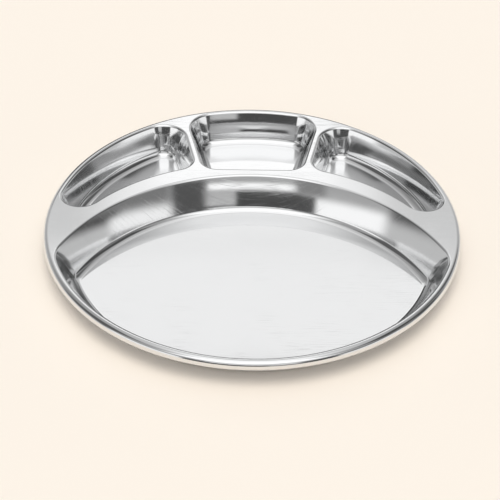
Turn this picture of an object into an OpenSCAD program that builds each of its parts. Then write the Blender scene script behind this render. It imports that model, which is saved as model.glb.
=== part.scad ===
// Round serving plate with four wells, pressed from one sheet of stainless steel.
// Millimetres, +Z up. The origin is the middle of the plate at table height.
// The large well lies towards -Y and the three small wells towards +Y.

/* [Plate] */
// Overall diameter over the rolled rim
plate_d = 330; // [310:1:350]
// Height of the deck above the table
plate_h = 27; // [25:0.5:29]
// Thickness of the sheet
sheet_t = 0.6; // [0.6:0.05:0.9]

/* [Rolled rim] */
// Width from the outer lip circle of the wells to the edge of the plate
rim_w = 6.5; // [6.4:0.1:8]
// Outside radius of the curl
curl_r = 4.2; // [3.6:0.1:4.3]
// How far the curl turns, in degrees from the deck
curl_turn = 250; // [190:5:280]

/* [Pressed walls] */
// Radius of the lips, on the food side
lip_r = 2.5; // [2:0.1:2.7]
// Lean of the large well's wall from upright, in degrees
main_draft = 20; // [16:1:22]
// Radius between wall and floor in the large well
main_fillet_r = 12; // [9:0.5:13]
// Lean of the small wells' walls from upright, in degrees
small_draft = 17; // [14:1:18]
// Radius between wall and floor in the small wells
small_fillet_r = 8; // [6:0.5:8]

/* [Large well] */
// Radius of the arc at the back of the large well
main_back_r = 163; // [160:1:166]
// How far in front of the plate's middle that arc is centred
main_back_set = 100.5; // [99:0.5:102]
// Radius of the two corners, in plan
main_corner_r = 26; // [22:1:30]

/* [Middle small well] */
// Distance from the plate's middle to the near edge
middle_near = 71.5; // [70:0.5:74]
// Lean of the two sides, in degrees
middle_lean = 12.1; // [10:0.1:14]
// Distance from the plate's middle to the line of each side
middle_side = 25; // [24:0.5:26]
// Radius of the back corners, in plan
middle_back_corner_r = 21; // [18:1:23]
// Radius of the near corners, in plan
middle_near_corner_r = 15; // [15:0.5:17]

/* [Side small wells] */
// Width of the ridges beside the middle well
ridge_w = 6; // [5.8:0.1:7]
// Radius of the near edge
side_near_r = 152; // [148:1:156]
// How far the near edge's arc is centred to the well's own side
side_near_x = 8; // [7:0.5:9]
// How far in front of the plate's middle that arc is centred
side_near_y = 72.5; // [72:0.5:74]
// Radius of the outer end, in plan
side_end_r = 16; // [15:0.5:18]
// Radius of the corner beside the ridge and the large well, in plan
side_near_corner_r = 15; // [15:0.5:16]
// Radius of the back corner, in plan
side_back_corner_r = 20; // [18:1:22]

/* [Hidden] */
$fn = 192;
steel = [0.80, 0.81, 0.82];
// circle through the outer lips of all four wells
lip_circle_r = plate_d / 2 - rim_w;
curl_mid_r = plate_d / 2 - curl_r;
// flat strip round each lip that belongs to the well
flange = lip_r / 10;
// steps in the curves of the wells
corner_steps = 6;
arc_steps = 3;
lip_steps = 2;
fillet_steps = 4;

// Plan geometry
function unit(v) = v / norm(v);
function tangent_len(r, draft) = r * tan((90 - draft) / 2);

// where circles (c1, r1) and (c2, r2) meet, on the left of the way from c1 to c2
function circles_meet(c1, r1, c2, r2) =
    let (d = norm(c2 - c1))
    let (u = (c2 - c1) / d)
    let (a = (d * d + r1 * r1 - r2 * r2) / (2 * d))
    let (h = sqrt(r1 * r1 - a * a))
    c1 + a * u + h * [-u[1], u[0]];

// where the line n.p = d meets circle (c, r), on the left of direction n turned left
function line_meets(n, d, c, r) =
    let (off = d - n * c)
    c + off * n + sqrt(r * r - off * off) * [-n[1], n[0]];

middle = [0, 0];
main_back_c = [0, -main_back_set];
main_corner = circles_meet(
    middle, lip_circle_r - main_corner_r,
    main_back_c, main_back_r - main_corner_r
);

// the side well is drawn on +X and mirrored for the other one
side_n = [cos(middle_lean), -sin(middle_lean)];
side_line = middle_side + ridge_w;
side_near_c = [side_near_x, -side_near_y];
side_end = circles_meet(
    middle, lip_circle_r - side_end_r,
    side_near_c, side_near_r + side_end_r
);
side_near_corner = line_meets(
    side_n, side_line + side_near_corner_r,
    side_near_c, side_near_r + side_near_corner_r
);
side_back_corner = line_meets(
    side_n, side_line + side_back_corner_r,
    middle, lip_circle_r - side_back_corner_r
);

middle_back_corner = line_meets(
    side_n, middle_side - middle_back_corner_r,
    middle, lip_circle_r - middle_back_corner_r
);
middle_near_corner_y = middle_near + middle_near_corner_r;
middle_near_corner_in = middle_side - middle_near_corner_r;
middle_near_corner_x = middle_near_corner_in / cos(middle_lean) + middle_near_corner_y * tan(middle_lean);
middle_near_corner = [middle_near_corner_x, middle_near_corner_y];

// Walls. They lean in all round a well, so each well is a stack of rings from the floor up, every
// ring drawn in from the outline of the lip.
// An outline point is [x, y, direction out of the well].
// Where an arc bulges into the well its centre is outside, and the direction turns by half a turn.
function arc_points(c, r, a0, a1, steps, turn = 0) =
    [for (i = [0 : steps]) let (a = a0 + (a1 - a0) * i / steps)
        [c[0] + r * cos(a), c[1] + r * sin(a), a + turn]];

function angle_of(v) = atan2(v[1], v[0]);
function after_first(points) = [for (i = [1 : len(points) - 1]) points[i]];
function between_ends(points) = [for (i = [1 : len(points) - 2]) points[i]];
function flipped(points) = [for (i = [len(points) - 1 : -1 : 0])
    [-points[i][0], points[i][1], 180 - points[i][2]]];

// Outline of the large well
main_turn_out = angle_of(main_corner);
main_turn_in = angle_of(main_corner - main_back_c);
main_right = concat(
    arc_points(middle, lip_circle_r, -90, main_turn_out, 4 * arc_steps),
    after_first(arc_points(main_corner, main_corner_r, main_turn_out, main_turn_in, corner_steps)),
    after_first(arc_points(main_back_c, main_back_r, main_turn_in, 90, 4 * arc_steps))
);
main_outline = concat(main_right, between_ends(flipped(main_right)));

// Outline of the middle small well
lean = middle_lean;
back_turn = angle_of(middle_back_corner);
middle_right = concat(
    arc_points(middle_near_corner, middle_near_corner_r, -90, -lean, corner_steps),
    arc_points(middle_back_corner, middle_back_corner_r, -lean, back_turn, corner_steps),
    after_first(arc_points(middle, lip_circle_r, back_turn, 90, arc_steps))
);
middle_outline = concat(middle_right, after_first(flipped(middle_right)));

// Outline of the side small well on +X
end_turn = angle_of(side_end);
near_turn_out = angle_of(side_end - side_near_c);
near_turn_in = angle_of(side_near_corner - side_near_c);
side_back_turn = angle_of(side_back_corner);
near_points = arc_points(side_near_c, side_near_r, near_turn_in, near_turn_out, 2 * arc_steps, 180);
outer_points = arc_points(middle, lip_circle_r, end_turn, side_back_turn, 3 * arc_steps);
side_outline = concat(
    between_ends(near_points),
    arc_points(side_end, side_end_r, near_turn_out - 180, end_turn, 2 * corner_steps),
    between_ends(outer_points),
    arc_points(side_back_corner, side_back_corner_r, side_back_turn, 180 - lean, corner_steps),
    arc_points(side_near_corner, side_near_corner_r, 180 - lean, near_turn_in + 180, corner_steps)
);

// Rings as [how far in from the outline, height]: from the floor up the face that holds the food,
// over the lip to the flange, and down the face below, one sheet thickness further out.
function face_rings(draft, fillet_r, grow) =
    let (up = 90 - draft)
    let (lip_c = [-tangent_len(lip_r, draft), plate_h - lip_r])
    let (fillet_c = [(plate_h - sheet_t) * tan(draft) + tangent_len(fillet_r, draft), sheet_t + fillet_r])
    concat(
        [for (i = [0 : fillet_steps]) let (a = up * i / fillet_steps)
            fillet_c + (fillet_r + grow) * [-sin(a), -cos(a)]],
        [for (i = [0 : lip_steps]) let (a = up * (1 - i / lip_steps))
            lip_c + (lip_r - grow) * [sin(a), cos(a)]],
        [[lip_c[0] - flange, plate_h - grow]]
    );

function backwards(list) = [for (i = [len(list) - 1 : -1 : 0]) list[i]];

// sheet of one well, with a narrow flange that lies in the deck
module well(outline, draft, fillet_r) {
    rings = concat(face_rings(draft, fillet_r, 0), backwards(face_rings(draft, fillet_r, sheet_t)));
    n = len(outline);
    m = len(rings);
    polyhedron(
        points = [for (ring = rings) for (p = outline)
            [p[0] - ring[0] * cos(p[2]), p[1] - ring[0] * sin(p[2]), ring[1]]],
        faces = concat(
            [[for (i = [n - 1 : -1 : 0]) i]],
            [for (j = [0 : m - 2]) for (i = [0 : n - 1])
                [j * n + i, j * n + (i + 1) % n, (j + 1) * n + (i + 1) % n, (j + 1) * n + i]],
            [[for (i = [0 : n - 1]) (m - 1) * n + i]]
        )
    );
}

module wells() {
    well(main_outline, main_draft, main_fillet_r);
    well(middle_outline, small_draft, small_fillet_r);
    well(side_outline, small_draft, small_fillet_r);
    mirror([1, 0, 0]) well(side_outline, small_draft, small_fillet_r);
}

// opening in the deck over a well, inside the well's flange
module opening(outline, draft) {
    out = tangent_len(lip_r, draft) + flange / 2;
    polygon([for (p = outline) [p[0] + out * cos(p[2]), p[1] + out * sin(p[2])]]);
}

// flat deck with the edge curled under
module deck_and_rim() {
    translate([0, 0, plate_h - sheet_t]) linear_extrude(height = sheet_t) difference() {
        circle(r = curl_mid_r);
        opening(main_outline, main_draft);
        opening(middle_outline, small_draft);
        opening(side_outline, small_draft);
        mirror([1, 0]) opening(side_outline, small_draft);
    }
    rotate_extrude() translate([curl_mid_r, plate_h - curl_r]) intersection() {
        difference() {
            circle(r = curl_r);
            circle(r = curl_r - sheet_t);
        }
        polygon([
            [0, 0],
            [0, 2 * curl_r],
            [2 * curl_r, 2 * curl_r],
            [2 * curl_r, -2 * curl_r],
            [-2 * curl_r, -2 * curl_r],
            2 * curl_r * [cos(90 - curl_turn), sin(90 - curl_turn)]
        ]);
    }
}

module pressed_plate() {
    color(steel) {
        deck_and_rim();
        wells();
    }
}

pressed_plate();
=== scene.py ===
"""Looks of the compartment thali plate: a dense, smooth skin of the pressed sheet, its polished steel,
a plain pale table and soft studio light. Lengths in the plate's own section are in millimetres and
are scaled to metres where the mesh is made."""

import math

import bpy
import numpy as np
from mathutils import Matrix, Vector
from mathutils.geometry import delaunay_2d_cdt

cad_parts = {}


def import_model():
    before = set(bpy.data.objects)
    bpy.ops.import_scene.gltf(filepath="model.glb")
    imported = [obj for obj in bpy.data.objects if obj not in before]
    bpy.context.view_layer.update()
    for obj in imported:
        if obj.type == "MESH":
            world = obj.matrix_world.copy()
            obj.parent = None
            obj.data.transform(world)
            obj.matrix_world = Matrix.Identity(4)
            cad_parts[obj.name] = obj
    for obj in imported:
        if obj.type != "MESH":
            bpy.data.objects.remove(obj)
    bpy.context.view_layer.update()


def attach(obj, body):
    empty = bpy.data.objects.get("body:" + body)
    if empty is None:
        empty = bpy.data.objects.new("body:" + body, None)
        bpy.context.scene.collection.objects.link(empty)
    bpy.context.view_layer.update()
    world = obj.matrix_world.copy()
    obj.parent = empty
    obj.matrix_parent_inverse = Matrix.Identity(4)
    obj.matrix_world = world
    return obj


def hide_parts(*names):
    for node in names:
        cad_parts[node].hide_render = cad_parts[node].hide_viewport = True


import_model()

MM = 0.001

# Plate
PLATE_D = 330.0
PLATE_H = 27.0
SHEET_T = 0.6
RIM_W = 6.5
CURL_R = 4.2
CURL_TURN = 250.0
LIP_R = 2.5
# the skin's edge stays this far inside the plate's overall diameter
RIM_CLEAR = 0.05
LIP_CIRCLE_R = PLATE_D / 2 - RIM_W
CURL_MID_R = PLATE_D / 2 - CURL_R - RIM_CLEAR

# Walls of the wells. The lean from upright in degrees and the radius between wall and floor are those
# of a straight wall and place the edge of the floor. The drawn sheet bulges a little between lip and
# floor: the tilts are those of its face from level, at the top and at the foot of the wall.
MAIN_WALL = {"draft": 20.0, "fillet_r": 12.0, "tilts": (56.0, 67.0)}
SMALL_WALL = {"draft": 17.0, "fillet_r": 8.0, "tilts": (66.0, 77.0)}

# Large well
MAIN_BACK_R = 163.0
MAIN_BACK_SET = 100.5
MAIN_CORNER_R = 26.0

# Middle small well
MIDDLE_NEAR = 71.5
MIDDLE_LEAN = 12.1
MIDDLE_SIDE = 25.0
MIDDLE_BACK_CORNER_R = 21.0
MIDDLE_NEAR_CORNER_R = 15.0

# Side small wells
RIDGE_W = 6.0
SIDE_NEAR_R = 152.0
SIDE_NEAR_X = 8.0
SIDE_NEAR_Y = 72.5
SIDE_END_R = 16.0
SIDE_NEAR_CORNER_R = 15.0
SIDE_BACK_CORNER_R = 20.0

# Fineness of the skin: steps along the outlines in mm, in tight corners in degrees, and rings down a
# wall and round the curl
OUTLINE_STEP = 1.6
CORNER_TURN_STEP = 2.5
LIP_RINGS = 10
WALL_RINGS = 10
FILLET_RINGS = 18
RIM_STEPS = 512
CURL_RINGS = 44
# points nearer than this, in mm, are one point
SAME_POINT = 1e-7
# twice the area of the smallest triangle kept, in mm2
SLIVER = 1e-6

# Polished steel
STEEL_COLOUR = (0.805, 0.808, 0.811, 1.0)
# roughness of the face where it is clean and where it is smeared
ROUGH_CLEAN = 0.035
ROUGH_SMEARED = 0.075
# what scratches, polishing rings, steep walls and the underside add to it, and the least it may be
ROUGH_SCRATCHED = 0.16
ROUGH_POLISH = 0.018
ROUGH_WALL = 0.03
ROUGH_UNDER = 0.25
ROUGH_LEAST = 0.02
# height of a face's normal, -1 to 1, where the addition for walls starts and where it is full
LEVEL_FACE = 0.98
STEEP_FACE = 0.45
# and the same for the underside
UPRIGHT_FACE = 0.0
UNDER_FACE = -0.35

# Weight of each finer layer of noise, and the patterns as [waves per metre, detail]
NOISE_ROUGHNESS = 0.6
SMEARS = (14.0, 4.0)
SCRATCH_PATCHES = (22.0, 2.0)
WAVY_SHEET = (9.0, 1.0)
ORANGE_PEEL = (60.0, 2.0)
POLISH_RINGS = (900.0, 2.0)
# the values of a noise mostly lie in this range
NOISE_RANGE = (0.3, 0.7)

# Layers of fine wiping scratches, as [direction in degrees, length, width, share that shows], in metres
SCRATCHES = [(18, 0.045, 0.00045, 0.10), (-52, 0.030, 0.00040, 0.08), (83, 0.022, 0.00050, 0.07)]
# height over which the scratches change, in metres
SCRATCH_RISE = 0.025
# noise values where a scratch starts to show and where it is full, before its share is taken off
SCRATCH_SHOWS = (0.66, 0.80)
# noise values over which the patches go from almost clean to scratched, and what almost clean leaves
PATCH_RANGE = (0.42, 0.62)
PATCH_LEAST = 0.15

# Relief as [strength, height in metres]
WAVY_RELIEF = (0.06, 0.001)
PEEL_RELIEF = (0.10, 0.00004)
RING_RELIEF = (0.25, 0.0000015)
SCRATCH_RELIEF = (0.35, -0.000008)

# Table, with its half width in metres
TABLE_COLOUR = (0.985, 0.935, 0.875, 1.0)
TABLE_HALF = 3.0

# Camera: focal length in pixels, distance in mm, elevation, azimuth and roll in radians, and the point
# of the table aimed at in mm
CAMERA = (1400.0, 1124.09, 0.67334, -0.00822, -0.01834, -1.54, -2.86)
SENSOR_W = 36.0
FRAME_PX = 500.0
CLIP_START = 0.05

# Lamp overhead: strength in W/m2, then width and lean towards the viewer in degrees
OVERHEAD_ENERGY = 1.30
OVERHEAD_COLOUR = (1.0, 0.915, 0.80)
OVERHEAD_WIDTH = 30.0
OVERHEAD_LEAN = 20.0

# Studio tent. Its light behind the plate, at the sides and behind the viewer goes by the height above
# the horizon in degrees, as [height, level].
TENT_BACK = [
    (0, 0.66), (30, 0.62), (36, 0.70), (43, 0.80), (46, 0.50), (52, 0.55), (62, 0.90), (76, 1.20),
    (90, 1.15),
]
TENT_SIDE = [
    (0, 0.60), (10, 0.60), (20, 0.46), (45, 0.36), (56, 0.42), (66, 0.62), (78, 1.15), (90, 1.15),
]
TENT_FRONT = [
    (0, 0.70), (21, 0.50), (30, 0.42), (36, 0.58), (42, 1.00), (50, 1.15), (64, 1.45), (74, 1.45),
    (82, 1.20), (90, 1.15),
]
# levels are kept as shares of this one while they are mixed
TENT_PEAK = 1.5
# turn away from the viewer's side in degrees over which the front gives way to the sides, and the
# sides to the back
TENT_FRONT_EDGE = (40, 60)
TENT_BACK_EDGE = (140, 165)
# White panels and dark cards hung in the tent, as [turn from the back towards +X, half width, lowest,
# highest, level, softness], all in degrees but the level
TENT_CARDS = [
    # white panel behind the plate, its lower half and the brighter middle of that
    (0, 11, 38.4, 43.5, 1.04, 0.8),
    (0, 7, 33, 38.6, 1.04, 1.6),
    (0, 4.5, 30, 36.2, 1.25, 1.2),
    # dark card below that panel
    (-7, 15, 6, 31.5, 0.08, 1.2),
    # dark cards at the right and at the left
    (88, 20, 12, 57, 0.08, 4.0),
    (-88, 18, 16, 57, 0.12, 4.0),
    # dark cards between them and the panel
    (52, 12, 22, 48, 0.12, 4.0),
    (-60, 10, 22, 45, 0.28, 4.0),
    # dark card towards the viewer at the right, and low white panels at both sides of the viewer
    (112, 24, 18, 34, 0.22, 4.0),
    (122, 20, 3, 14.5, 1.05, 4.0),
    (-128, 20, 3, 18.5, 1.15, 4.0),
    # white panel behind the viewer and the dark cards below it
    (180, 24, 22.5, 27.5, 1.20, 1.2),
    (180, 32, -30, 9.5, 0.07, 1.2),
    (-172, 17, -30, 21.0, 0.08, 1.4),
    # dark cards beside the viewer
    (146, 9, -30, 31, 0.10, 3.0),
    (-153, 6, -30, 20, 0.09, 2.0),
    (-150, 8, 21, 34, 0.26, 3.0),
]

# Angles in degrees
RADIAN = 180 / math.pi
ZENITH = 90.0
HALF_TURN = 180.0
FULL_TURN = 360.0


# Plan geometry
def angle_of(v):
    return math.degrees(math.atan2(v[1], v[0]))


def tangent_len(r, draft):
    return r * math.tan(math.radians((90 - draft) / 2))


def circles_meet(c1, r1, c2, r2):
    """Where two circles meet, on the left of the way from the first centre to the second."""
    d = np.linalg.norm(c2 - c1)
    u = (c2 - c1) / d
    a = (d * d + r1 * r1 - r2 * r2) / (2 * d)
    h = math.sqrt(r1 * r1 - a * a)
    return c1 + a * u + h * np.array([-u[1], u[0]])


def line_meets(n, d, c, r):
    """Where the line n.p = d meets a circle, on the left of n."""
    off = d - n @ c
    return c + off * n + math.sqrt(r * r - off * off) * np.array([-n[1], n[0]])


def arc_points(c, r, a0, a1, turn=0.0, tight=False):
    """Points [x, y, direction out of the well] along an arc. Tight arcs are stepped by angle."""
    span = abs(a1 - a0)
    step = CORNER_TURN_STEP if tight else math.degrees(OUTLINE_STEP / r)
    n = max(2, math.ceil(span / step))
    a = np.linspace(a0, a1, n + 1)
    t = np.radians(a)
    return np.stack([c[0] + r * np.cos(t), c[1] + r * np.sin(t), a + turn], axis=1)


def line_points(p, q, direction):
    """Points strictly between two outline points, with one direction out of the well."""
    n = max(2, math.ceil(np.linalg.norm(np.subtract(q, p)[:2]) / OUTLINE_STEP))
    k = np.linspace(0, 1, n + 1)[1:-1, None]
    xy = np.asarray(p)[:2] * (1 - k) + np.asarray(q)[:2] * k
    return np.column_stack([xy, np.full(len(xy), direction)])


def flipped(points):
    """The same outline mirrored in X, in the same turning sense."""
    return np.column_stack([-points[::-1, 0], points[::-1, 1], 180 - points[::-1, 2]])


MIDDLE = np.zeros(2)
MAIN_BACK_C = np.array([0.0, -MAIN_BACK_SET])
MAIN_CORNER = circles_meet(
    MIDDLE, LIP_CIRCLE_R - MAIN_CORNER_R,
    MAIN_BACK_C, MAIN_BACK_R - MAIN_CORNER_R,
)
LEAN = math.radians(MIDDLE_LEAN)
SIDE_N = np.array([math.cos(LEAN), -math.sin(LEAN)])
SIDE_LINE = MIDDLE_SIDE + RIDGE_W
SIDE_NEAR_C = np.array([SIDE_NEAR_X, -SIDE_NEAR_Y])
SIDE_END = circles_meet(
    MIDDLE, LIP_CIRCLE_R - SIDE_END_R,
    SIDE_NEAR_C, SIDE_NEAR_R + SIDE_END_R,
)
SIDE_NEAR_CORNER = line_meets(
    SIDE_N, SIDE_LINE + SIDE_NEAR_CORNER_R,
    SIDE_NEAR_C, SIDE_NEAR_R + SIDE_NEAR_CORNER_R,
)
SIDE_BACK_CORNER = line_meets(
    SIDE_N, SIDE_LINE + SIDE_BACK_CORNER_R,
    MIDDLE, LIP_CIRCLE_R - SIDE_BACK_CORNER_R,
)
MIDDLE_BACK_CORNER = line_meets(
    SIDE_N, MIDDLE_SIDE - MIDDLE_BACK_CORNER_R,
    MIDDLE, LIP_CIRCLE_R - MIDDLE_BACK_CORNER_R,
)
NEAR_CORNER_Y = MIDDLE_NEAR + MIDDLE_NEAR_CORNER_R
NEAR_CORNER_IN = MIDDLE_SIDE - MIDDLE_NEAR_CORNER_R
NEAR_CORNER_X = (NEAR_CORNER_IN + NEAR_CORNER_Y * math.sin(LEAN)) / math.cos(LEAN)
MIDDLE_NEAR_CORNER = np.array([NEAR_CORNER_X, NEAR_CORNER_Y])


def main_outline():
    """Lip of the large well."""
    out = angle_of(MAIN_CORNER)
    back = angle_of(MAIN_CORNER - MAIN_BACK_C)
    right = np.vstack([
        arc_points(MIDDLE, LIP_CIRCLE_R, -90, out),
        arc_points(MAIN_CORNER, MAIN_CORNER_R, out, back, tight=True)[1:],
        arc_points(MAIN_BACK_C, MAIN_BACK_R, back, 90)[1:],
    ])
    return np.vstack([right, flipped(right)[1:-1]])


def middle_outline():
    """Lip of the middle small well."""
    back = angle_of(MIDDLE_BACK_CORNER)
    near = arc_points(MIDDLE_NEAR_CORNER, MIDDLE_NEAR_CORNER_R, -90, -MIDDLE_LEAN, tight=True)
    far = arc_points(MIDDLE_BACK_CORNER, MIDDLE_BACK_CORNER_R, -MIDDLE_LEAN, back, tight=True)
    start = np.array([0.0, MIDDLE_NEAR, -90.0])
    right = np.vstack([
        start[None],
        line_points(start, near[0], -90),
        near,
        line_points(near[-1], far[0], -MIDDLE_LEAN),
        far,
        arc_points(MIDDLE, LIP_CIRCLE_R, back, 90)[1:],
    ])
    return np.vstack([right, flipped(right)[1:-1]])


def side_outline():
    """Lip of the side small well on +X."""
    end_turn = angle_of(SIDE_END)
    turn_out = angle_of(SIDE_END - SIDE_NEAR_C)
    turn_in = angle_of(SIDE_NEAR_CORNER - SIDE_NEAR_C)
    back = angle_of(SIDE_BACK_CORNER)
    ridge = 180 - MIDDLE_LEAN
    far = arc_points(SIDE_BACK_CORNER, SIDE_BACK_CORNER_R, back, ridge, tight=True)
    near = arc_points(SIDE_NEAR_CORNER, SIDE_NEAR_CORNER_R, ridge, turn_in + 180, tight=True)
    return np.vstack([
        arc_points(SIDE_NEAR_C, SIDE_NEAR_R, turn_in, turn_out, turn=180)[1:-1],
        arc_points(SIDE_END, SIDE_END_R, turn_out - 180, end_turn, tight=True),
        arc_points(MIDDLE, LIP_CIRCLE_R, end_turn, back)[1:-1],
        far,
        line_points(far[-1], near[0], ridge),
        near,
    ])


# Section of a wall
def wall_profile(draft, fillet_r, tilts, under):
    """Rings from the deck down, as [how far in from the outline, height, normal in, normal up]."""
    top, foot = np.radians(tilts)
    start = -tangent_len(LIP_R, draft)
    depth = PLATE_H - SHEET_T
    run = depth * math.tan(math.radians(draft)) + tangent_len(fillet_r, draft) - start
    # length of the wall and radius of the fillet that join the lip to the same floor
    down = (math.cos(top) - math.cos(foot)) / (foot - top)
    inward = (math.sin(foot) - math.sin(top)) / (foot - top)
    length, radius = np.linalg.solve(
        [[down, 1 - math.cos(foot)], [inward, math.sin(foot)]],
        [depth - LIP_R * (1 - math.cos(top)), run - LIP_R * math.sin(top)],
    )
    rows = []
    for a in np.linspace(0, top, LIP_RINGS):
        rows.append([start + LIP_R * math.sin(a), PLATE_H - LIP_R * (1 - math.cos(a)), a])
    s, z, _ = rows[-1]
    bulge_r = length / (foot - top)
    for a in np.linspace(top, foot, WALL_RINGS)[1:]:
        along = bulge_r * (math.sin(a) - math.sin(top))
        fall = bulge_r * (math.cos(top) - math.cos(a))
        rows.append([s + along, z - fall, a])
    floor_s = start + run
    for a in np.linspace(foot, 0, FILLET_RINGS)[1:]:
        rows.append([floor_s - radius * math.sin(a), SHEET_T + radius * (1 - math.cos(a)), a])
    s, z, a = np.array(rows).T
    n = np.column_stack([np.sin(a), np.cos(a)])
    return np.column_stack([np.column_stack([s, z]) - (SHEET_T if under else 0.0) * n, n])


# The skin
class Skin:
    """Points, their true normals and faces, gathered piece by piece."""

    def __init__(self):
        self.points, self.normals, self.faces = [], [], []

    def add(self, points, normals):
        """Adds a ring and returns the numbers of its points."""
        start = len(self.points)
        self.points.extend(map(tuple, points))
        self.normals.extend(map(tuple, normals))
        return list(range(start, start + len(points)))

    def band(self, ring_a, ring_b, flip):
        """Joins two closed rings with faces."""
        n = len(ring_a)
        for i in range(n):
            k = (i + 1) % n
            quad = (ring_a[i], ring_b[i], ring_b[k], ring_a[k])
            self.faces.append(quad if flip else quad[::-1])


def well_rings(skin, outline, profile, flip):
    """Adds the walls of a well and returns its top and bottom rings."""
    t = np.radians(outline[:, 2])
    out = np.column_stack([np.cos(t), np.sin(t)])
    sign = -1.0 if flip else 1.0
    rings = []
    for s, z, ns, nz in profile:
        xy = outline[:, :2] - s * out
        normals = np.column_stack([-ns * out, np.full(len(out), nz)]) * sign
        rings.append(skin.add(np.column_stack([xy, np.full(len(xy), z)]), normals))
    for a, b in zip(rings[:-1], rings[1:]):
        skin.band(a, b, flip)
    return rings[0], rings[-1]


def inside(points, loop):
    """Which points lie inside a closed loop."""
    x, y = points[:, 0][:, None], points[:, 1][:, None]
    x0, y0 = loop[:, 0][None], loop[:, 1][None]
    x1, y1 = np.roll(x0, -1, axis=1), np.roll(y0, -1, axis=1)
    crosses = (y0 > y) != (y1 > y)
    with np.errstate(divide="ignore", invalid="ignore"):
        at = x0 + (y - y0) * (x1 - x0) / (y1 - y0)
    return (crosses & (x < at)).sum(axis=1) % 2 == 1


def flat_fill(skin, outer, holes, flip):
    """Fills the flat area between one outer ring and any rings inside it."""
    loops = [outer] + holes
    ids = [i for loop in loops for i in loop]
    coords = [Vector(skin.points[i][:2]) for i in ids]
    edges, start = [], 0
    for loop in loops:
        n = len(loop)
        edges += [(start + i, start + (i + 1) % n) for i in range(n)]
        start += n
    whole_hull = 0
    _, _, tris, origins, _, _ = delaunay_2d_cdt(coords, edges, [], whole_hull, SAME_POINT)
    where = [ids[o[0]] for o in origins]
    corner = np.array([[skin.points[where[i]][:2] for i in t] for t in tris])
    centre = corner.mean(axis=1)
    keep = inside(centre, np.array([skin.points[i][:2] for i in outer]))
    for hole in holes:
        keep &= ~inside(centre, np.array([skin.points[i][:2] for i in hole]))
    e1 = corner[:, 1] - corner[:, 0]
    e2 = corner[:, 2] - corner[:, 0]
    turn = e1[:, 0] * e2[:, 1] - e1[:, 1] * e2[:, 0]
    for t, k, w in zip(tris, keep, turn):
        if k and abs(w) > SLIVER:
            face = tuple(where[i] for i in t)
            if (w > 0) == flip:
                face = face[::-1]
            skin.faces.append(face)


def rim_profile(radius):
    """The curl from the deck round and under, as [distance from the axis, height, normal out and up]."""
    a = np.radians(np.linspace(0, CURL_TURN, CURL_RINGS))
    n = np.column_stack([np.sin(a), np.cos(a)])
    c = np.array([CURL_MID_R, PLATE_H - CURL_R])
    return np.column_stack([c + radius * n, n])


def add_curl(skin, radius, flip):
    """Adds one face of the curl and returns its ring at the deck and its ring at the free edge."""
    t = np.radians(np.arange(RIM_STEPS) * 360 / RIM_STEPS)
    way = np.column_stack([np.cos(t), np.sin(t)])
    sign = -1.0 if flip else 1.0
    rings = []
    for r, z, nr, nz in rim_profile(radius):
        normals = np.column_stack([nr * way, np.full(len(way), nz)]) * sign
        rings.append(skin.add(np.column_stack([r * way, np.full(len(way), z)]), normals))
    for a, b in zip(rings[:-1], rings[1:]):
        skin.band(a, b, not flip)
    return rings[0], rings[-1]


def plate_skin():
    """The whole sheet: upper face, lower face and the free edge between them."""
    skin = Skin()
    side = side_outline()
    wells = [
        (main_outline(), MAIN_WALL),
        (middle_outline(), SMALL_WALL),
        (side, SMALL_WALL),
        (flipped(side), SMALL_WALL),
    ]
    ends = []
    for under in (False, True):
        deck_ring, curl_end = add_curl(skin, CURL_R - (SHEET_T if under else 0.0), under)
        tops = []
        for outline, wall in wells:
            top, bottom = well_rings(skin, outline, wall_profile(under=under, **wall), under)
            flat_fill(skin, bottom, [], under)
            tops.append(top)
        flat_fill(skin, deck_ring, tops, under)
        ends.append(curl_end)
    skin.band(ends[0], ends[1], False)
    return skin


def mesh_object(name, skin):
    mesh = bpy.data.meshes.new(name)
    points = np.array(skin.points) * MM
    mesh.from_pydata([tuple(p) for p in points], [], skin.faces)
    mesh.polygons.foreach_set("use_smooth", [True] * len(mesh.polygons))
    mesh.normals_split_custom_set_from_vertices(skin.normals)
    mesh.update()
    obj = bpy.data.objects.new(name, mesh)
    bpy.context.collection.objects.link(obj)
    return obj


# Materials
class Nodes:
    """Short way to add and link shader nodes."""

    def __init__(self, owner):
        owner.use_nodes = True
        self.tree = owner.node_tree
        self.tree.nodes.clear()

    def add(self, kind, **inputs):
        node = self.tree.nodes.new(kind)
        for key, value in inputs.items():
            node.inputs[key.replace("_", " ")].default_value = value
        return node

    def link(self, a, b):
        self.tree.links.new(a, b)

    def feed(self, value, socket):
        """Sets a socket to a number, or links it to another node."""
        if isinstance(value, (int, float)):
            socket.default_value = value
        else:
            self.link(value, socket)

    def maths(self, operation, *values):
        node = self.tree.nodes.new("ShaderNodeMath")
        node.operation = operation
        for socket, value in zip(node.inputs, values):
            self.feed(value, socket)
        return node.outputs["Value"]


def noise(n, coords, pattern):
    scale, detail = pattern
    node = n.add("ShaderNodeTexNoise", Scale=scale, Detail=detail, Roughness=NOISE_ROUGHNESS)
    n.link(coords, node.inputs["Vector"])
    return node.outputs["Fac"]


def to_range(n, value, source, low=0.0, high=1.0):
    """Maps a value's source range onto low to high."""
    node = n.add("ShaderNodeMapRange", From_Min=source[0], From_Max=source[1], To_Min=low, To_Max=high)
    n.link(value, node.inputs["Value"])
    return node.outputs["Result"]


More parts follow.
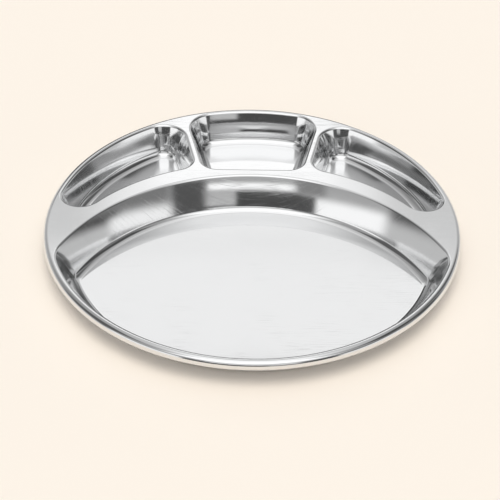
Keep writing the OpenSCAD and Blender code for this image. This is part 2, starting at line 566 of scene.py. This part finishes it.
def scratches(n, coords):
    """How scratched a spot is, 0 to 1."""
    starts, full = SCRATCH_SHOWS
    total = 0.0
    for direction, length, width, share in SCRATCHES:
        turn = (0, 0, math.radians(direction))
        scale = (1 / length, 1 / width, 1 / SCRATCH_RISE)
        place = n.add("ShaderNodeMapping", Rotation=turn, Scale=scale)
        n.link(coords, place.inputs["Vector"])
        lines = n.add("ShaderNodeTexNoise", Scale=1.0, Detail=1.0)
        n.link(place.outputs["Vector"], lines.inputs["Vector"])
        shows = to_range(n, lines.outputs["Fac"], (starts - share / 2, full - share / 2))
        total = n.maths("MAXIMUM", shows, total)
    patches = to_range(n, noise(n, coords, SCRATCH_PATCHES), PATCH_RANGE, low=PATCH_LEAST)
    return n.maths("MULTIPLY", total, patches)


def polish_rings(n, coords):
    """Fine rings left by turning the plate against the polishing wheel, -1 to 1."""
    flat = n.add("ShaderNodeMapping", Scale=(1, 1, 0))
    n.link(coords, flat.inputs["Vector"])
    length = n.tree.nodes.new("ShaderNodeVectorMath")
    length.operation = "LENGTH"
    n.link(flat.outputs["Vector"], length.inputs[0])
    scale, detail = POLISH_RINGS
    rings = n.tree.nodes.new("ShaderNodeTexNoise")
    rings.noise_dimensions = "1D"
    rings.inputs["Scale"].default_value = scale
    rings.inputs["Detail"].default_value = detail
    n.link(length.outputs["Value"], rings.inputs["W"])
    return to_range(n, rings.outputs["Fac"], NOISE_RANGE, low=-1.0)


def bumped(n, height, relief, normal=None):
    strength, distance = relief
    node = n.add("ShaderNodeBump", Strength=strength, Distance=distance)
    n.link(height, node.inputs["Height"])
    if normal is not None:
        n.link(normal, node.inputs["Normal"])
    return node.outputs["Normal"]


def steel():
    material = bpy.data.materials.new("polished_steel")
    n = Nodes(material)
    out = n.add("ShaderNodeOutputMaterial")
    bsdf = n.add("ShaderNodeBsdfPrincipled", Metallic=1.0)
    bsdf.inputs["Base Color"].default_value = STEEL_COLOUR
    coords = n.add("ShaderNodeTexCoord").outputs["Object"]
    worn = scratches(n, coords)
    rings = polish_rings(n, coords)
    smear = to_range(n, noise(n, coords, SMEARS), NOISE_RANGE, ROUGH_CLEAN, ROUGH_SMEARED)
    rough = n.maths("ADD", smear, n.maths("MULTIPLY", rings, ROUGH_POLISH))
    rough = n.maths("ADD", rough, n.maths("MULTIPLY", worn, ROUGH_SCRATCHED))
    # the wheel reaches the drawn walls less well than the flats
    up = n.tree.nodes.new("ShaderNodeSeparateXYZ")
    n.link(n.tree.nodes.new("ShaderNodeNewGeometry").outputs["Normal"], up.inputs["Vector"])
    steep = to_range(n, up.outputs["Z"], (STEEP_FACE, LEVEL_FACE), ROUGH_WALL, 0.0)
    rough = n.maths("ADD", rough, steep)
    # and the underside hardly at all
    under = to_range(n, up.outputs["Z"], (UNDER_FACE, UPRIGHT_FACE), ROUGH_UNDER, 0.0)
    rough = n.maths("ADD", rough, under)
    n.link(n.maths("MAXIMUM", rough, ROUGH_LEAST), bsdf.inputs["Roughness"])
    normal = bumped(n, noise(n, coords, WAVY_SHEET), WAVY_RELIEF)
    normal = bumped(n, noise(n, coords, ORANGE_PEEL), PEEL_RELIEF, normal)
    normal = bumped(n, rings, RING_RELIEF, normal)
    normal = bumped(n, worn, SCRATCH_RELIEF, normal)
    n.link(normal, bsdf.inputs["Normal"])
    n.link(bsdf.outputs["BSDF"], out.inputs["Surface"])
    return material


# Stage, camera and light
def table():
    """Plain pale table top. It is larger than the picture."""
    half = TABLE_HALF
    corners = [(-half, -half, 0), (half, -half, 0), (half, half, 0), (-half, half, 0)]
    mesh = bpy.data.meshes.new("table")
    mesh.from_pydata(corners, [], [(0, 1, 2, 3)])
    obj = bpy.data.objects.new("table", mesh)
    bpy.context.collection.objects.link(obj)
    material = bpy.data.materials.new("table_top")
    n = Nodes(material)
    out = n.add("ShaderNodeOutputMaterial")
    bsdf = n.add("ShaderNodeBsdfDiffuse", Color=TABLE_COLOUR)
    n.link(bsdf.outputs["BSDF"], out.inputs["Surface"])
    obj.data.materials.append(material)


def overhead():
    """Large soft lamp over the plate. Mirrored in the steel is only the white top of the tent."""
    lamp = bpy.data.lights.new("overhead", "SUN")
    lamp.energy = OVERHEAD_ENERGY
    lamp.color = OVERHEAD_COLOUR
    lamp.angle = math.radians(OVERHEAD_WIDTH)
    obj = bpy.data.objects.new("overhead", lamp)
    obj.rotation_euler = (math.radians(OVERHEAD_LEAN), 0, 0)
    obj.visible_glossy = False
    bpy.context.collection.objects.link(obj)


def camera():
    """Camera of the photo, from a fit of the plate's outlines."""
    f_px, distance, elevation, azimuth, roll, tx, ty = CAMERA
    ce, se = math.cos(elevation), math.sin(elevation)
    ca, sa = math.cos(azimuth), math.sin(azimuth)
    back = Vector((sa * ce, -ca * ce, se))
    right = Vector((ca, sa, 0))
    up = back.cross(right)
    place = Vector((tx, ty, 0)) * MM + distance * MM * back
    cr, sr = math.cos(roll), math.sin(roll)
    cam_right = cr * right - sr * up
    cam_up = sr * right + cr * up
    data = bpy.data.cameras.new("camera")
    data.sensor_width = SENSOR_W
    data.lens = f_px / FRAME_PX * SENSOR_W
    data.clip_start = CLIP_START
    obj = bpy.data.objects.new("camera", data)
    bpy.context.collection.objects.link(obj)
    turn = Matrix((cam_right, cam_up, back)).transposed()
    obj.matrix_world = Matrix.Translation(place) @ turn.to_4x4()
    bpy.context.scene.camera = obj


def tent_level(n, height, stops):
    """Level of the tent at a height, from its list of stops."""
    ramp = n.tree.nodes.new("ShaderNodeValToRGB")
    n.link(to_range(n, height, (0.0, ZENITH)), ramp.inputs["Fac"])
    elements = ramp.color_ramp.elements
    elements.remove(elements[1])
    for i, (at, level) in enumerate(stops):
        element = elements.new(at / ZENITH) if i else elements[0]
        element.color = (*[level / TENT_PEAK] * 3, 1.0)
    return ramp.outputs["Color"]


def smooth(n, value, edge):
    """0 below an edge and 1 above it, with a soft step between."""
    node = n.add("ShaderNodeMapRange", From_Min=edge[0], From_Max=edge[1])
    node.interpolation_type = "SMOOTHSTEP"
    n.link(value, node.inputs["Value"])
    return node.outputs["Result"]


def mixed(n, weight, a, b):
    """a where the weight is 0, b where it is 1."""
    node = n.add("ShaderNodeMix")
    for name, value in (("Factor", weight), ("A", a), ("B", b)):
        n.feed(value, node.inputs[name])
    return node.outputs["Result"]


def card(n, turn, height, level, where):
    """Lays one panel or card over the light of the tent."""
    at, half, low, high, value, soft = where
    off = n.maths("MODULO", n.maths("ADD", turn, FULL_TURN + HALF_TURN - at), FULL_TURN)
    off = n.maths("ABSOLUTE", n.maths("SUBTRACT", off, HALF_TURN))
    inside_turn = n.maths("SUBTRACT", 1.0, smooth(n, off, (half - soft, half + soft)))
    above = smooth(n, height, (low - soft, low + soft))
    below = n.maths("SUBTRACT", 1.0, smooth(n, height, (high - soft, high + soft)))
    weight = n.maths("MULTIPLY", inside_turn, n.maths("MULTIPLY", above, below))
    return mixed(n, weight, level, value / TENT_PEAK)


def world():
    """White studio tent with its panels and cards. It lights the table too."""
    w = bpy.data.worlds.new("studio")
    bpy.context.scene.world = w
    n = Nodes(w)
    way = n.tree.nodes.new("ShaderNodeSeparateXYZ")
    n.link(n.add("ShaderNodeTexCoord").outputs["Generated"], way.inputs["Vector"])
    x, y, z = (way.outputs[k] for k in "XYZ")
    height = n.maths("MULTIPLY", n.maths("ARCSINE", z), RADIAN)
    from_back = n.maths("MULTIPLY", n.maths("ARCTAN2", x, y), RADIAN)
    turn = n.maths("SUBTRACT", HALF_TURN, n.maths("ABSOLUTE", from_back))
    lists = (TENT_FRONT, TENT_SIDE, TENT_BACK)
    front, side, back = (tent_level(n, height, stops) for stops in lists)
    level = mixed(n, smooth(n, turn, TENT_FRONT_EDGE), front, side)
    level = mixed(n, smooth(n, turn, TENT_BACK_EDGE), level, back)
    for where in TENT_CARDS:
        level = card(n, from_back, height, level, where)
    background = n.add("ShaderNodeBackground", Color=(1, 1, 1, 1))
    n.link(n.maths("MULTIPLY", level, TENT_PEAK), background.inputs["Strength"])
    out = n.add("ShaderNodeOutputWorld")
    n.link(background.outputs["Background"], out.inputs["Surface"])


plate = mesh_object("pressed_plate_skin", plate_skin())
plate.data.materials.append(steel())
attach(plate, "root")
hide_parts("pressed_plate")

table()
overhead()
world()
camera()
bpy.context.scene.view_settings.view_transform = "Standard"
